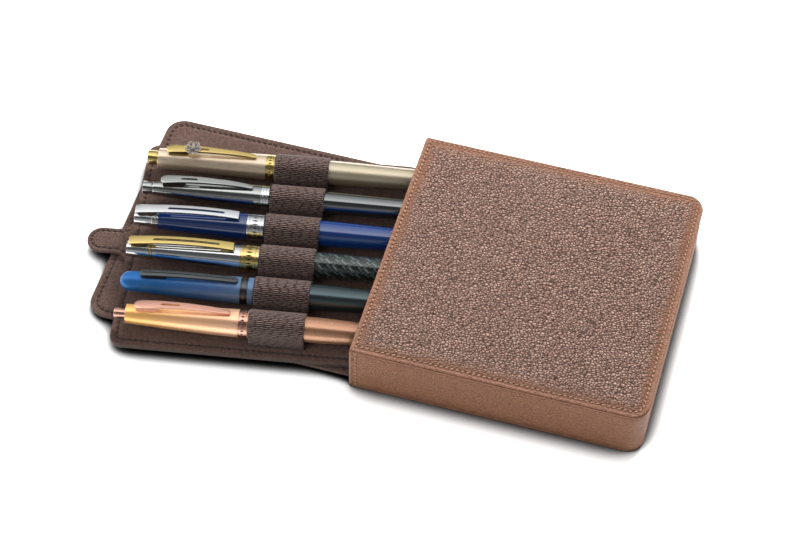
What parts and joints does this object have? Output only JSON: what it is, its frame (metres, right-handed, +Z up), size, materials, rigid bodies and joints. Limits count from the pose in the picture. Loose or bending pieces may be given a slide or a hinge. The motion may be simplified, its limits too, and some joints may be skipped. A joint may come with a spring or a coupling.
{
  "type": "pen case",
  "caption": "Leather slip case with an open mouth; a hinged suede tray slides out and carries pens in elastic loops, with a pull tab and a lower leaf.",
  "frame": {"origin": "centre of the sleeve's flat underside", "axes": "+X from the sleeve's open mouth (-X) to its closed end, +Y to the back, +Z up; drawn with the tray out"},
  "size_m": [0.2813, 0.1449, 0.0296],
  "materials": {
    "sleeve_leather": "pebbled, low sheen",
    "side_leather": "smooth, low sheen",
    "padding": "felt",
    "board": "raw board",
    "lining": "suede",
    "suede": "suede",
    "elastic": "ribbed elastic",
    "champagne_satin": "satin metallic",
    "gold": "polished",
    "silver": "polished",
    "bright_chrome": "polished",
    "black_lacquer": "gloss",
    "blue_lacquer": "gloss metallic",
    "dark_engraved": "engraved under lacquer",
    "blue_matte": "matte, deepening along the cap",
    "black_satin": "satin",
    "dark_satin": "satin",
    "copper_lacquer": "gloss metallic, deepening along the barrel",
    "brown_lacquer": "gloss metallic",
    "rose_gold": "polished",
    "black_resin": "gloss"
  },
  "bodies": {
    "sleeve": {"sleeve_top_leather": "sleeve_leather", "sleeve_top_padding": "padding", "sleeve_top_board": "board", "sleeve_top_lining": "lining", "sleeve_side_band": "side_leather", "sleeve_side_lining": "lining", "sleeve_base_leather": "sleeve_leather", "sleeve_base_board": "board", "sleeve_base_lining": "lining"},
    "leaf": {"leaf_suede": "suede", "leaf_backing": "side_leather", "joining_strip": "suede"},
    "tray": {"tray_suede": "suede", "tray_board": "board", "tray_backing": "side_leather", "pull_tab": "suede", "elastic_loops": "elastic"},
    "pen1": {"pen1_barrel": "champagne_satin", "pen1_grip": "black_resin", "pen1_nib": "gold"},
    "pen1_capped_end": {"pen1_cap": "champagne_satin", "pen1_finial": "gold", "pen1_clip": "gold", "pen1_charm": "silver", "pen1_ring": "gold"},
    "pen2": {"pen2_barrel": "black_lacquer", "pen2_grip": "black_resin", "pen2_nib": "bright_chrome"},
    "pen2_capped_end": {"pen2_cap": "bright_chrome", "pen2_finial": "bright_chrome", "pen2_clip": "bright_chrome", "pen2_ring": "bright_chrome"},
    "pen3": {"pen3_barrel": "blue_lacquer", "pen3_grip": "black_resin", "pen3_nib": "bright_chrome"},
    "pen3_capped_end": {"pen3_cap": "blue_lacquer", "pen3_finial": "bright_chrome", "pen3_clip": "bright_chrome", "pen3_ring": "bright_chrome"},
    "pen4": {"pen4_barrel": "dark_engraved", "pen4_grip": "black_resin", "pen4_nib": "gold"},
    "pen4_capped_end": {"pen4_cap": "bright_chrome", "pen4_top_rings": "gold", "pen4_clip": "gold", "pen4_ring": "gold"},
    "pen5": {"pen5_barrel": "dark_satin", "pen5_grip": "black_resin", "pen5_tip": "bright_chrome"},
    "pen5_capped_end": {"pen5_cap": "blue_matte", "pen5_clip": "black_satin", "pen5_ring": "black_satin"},
    "pen6": {"pen6_upper_barrel": "copper_lacquer", "pen6_lower_barrel": "brown_lacquer", "pen6_ring": "rose_gold", "pen6_clip": "rose_gold", "pen6_spring": "bright_chrome"},
    "pen6_click": {"pen6_button": "rose_gold", "pen6_refill": "bright_chrome"}
  },
  "joints": [
    {"name": "insert_slide", "type": "slide", "parent": "sleeve", "child": "leaf", "axis": [1, 0, 0], "range_m": [-0.025, 0.12295]},
    {"name": "tray_yaw", "type": "hinge", "parent": "leaf", "child": "tray", "pos_m": [-0.0675, 0.00275, 0.0041], "axis": [0, 0, 1], "range_deg": [-10.01, 2.2]},
    {"name": "pen1_slide", "type": "slide", "parent": "tray", "child": "pen1", "axis": [-0.9848, -0.1736, 0], "range_m": [0, 0.045]},
    {"name": "pen1_cap_slide", "type": "slide", "parent": "pen1", "child": "pen1_capped_end", "axis": [-0.9848, -0.1736, 0], "range_m": [0, 0.045]},
    {"name": "pen2_slide", "type": "slide", "parent": "tray", "child": "pen2", "axis": [-0.9848, -0.1736, 0], "range_m": [0, 0.045]},
    {"name": "pen2_cap_slide", "type": "slide", "parent": "pen2", "child": "pen2_capped_end", "axis": [-0.9848, -0.1736, 0], "range_m": [0, 0.045]},
    {"name": "pen3_slide", "type": "slide", "parent": "tray", "child": "pen3", "axis": [-0.9848, -0.1736, 0], "range_m": [0, 0.045]},
    {"name": "pen3_cap_slide", "type": "slide", "parent": "pen3", "child": "pen3_capped_end", "axis": [-0.9848, -0.1736, 0], "range_m": [0, 0.045]},
    {"name": "pen4_slide", "type": "slide", "parent": "tray", "child": "pen4", "axis": [-0.9848, -0.1736, 0], "range_m": [0, 0.045]},
    {"name": "pen4_cap_slide", "type": "slide", "parent": "pen4", "child": "pen4_capped_end", "axis": [-0.9848, -0.1736, 0], "range_m": [0, 0.045]},
    {"name": "pen5_slide", "type": "slide", "parent": "tray", "child": "pen5", "axis": [-0.9848, -0.1736, 0], "range_m": [0, 0.045]},
    {"name": "pen5_cap_slide", "type": "slide", "parent": "pen5", "child": "pen5_capped_end", "axis": [-0.9848, -0.1736, 0], "range_m": [0, 0.045]},
    {"name": "pen6_slide", "type": "slide", "parent": "tray", "child": "pen6", "axis": [-0.9848, -0.1736, 0], "range_m": [0, 0.045]},
    {"name": "pen6_button_press", "type": "slide", "parent": "pen6", "child": "pen6_click", "axis": [0.9848, 0.1736, 0], "range_m": [0, 0.0045], "stiffness_N_per_m": 500, "springref_m": -0.002}
  ],
  "couplings": [
    {"joint": "tray_yaw", "follows": "insert_slide", "rad_per_m": -1.4195}
  ]
}
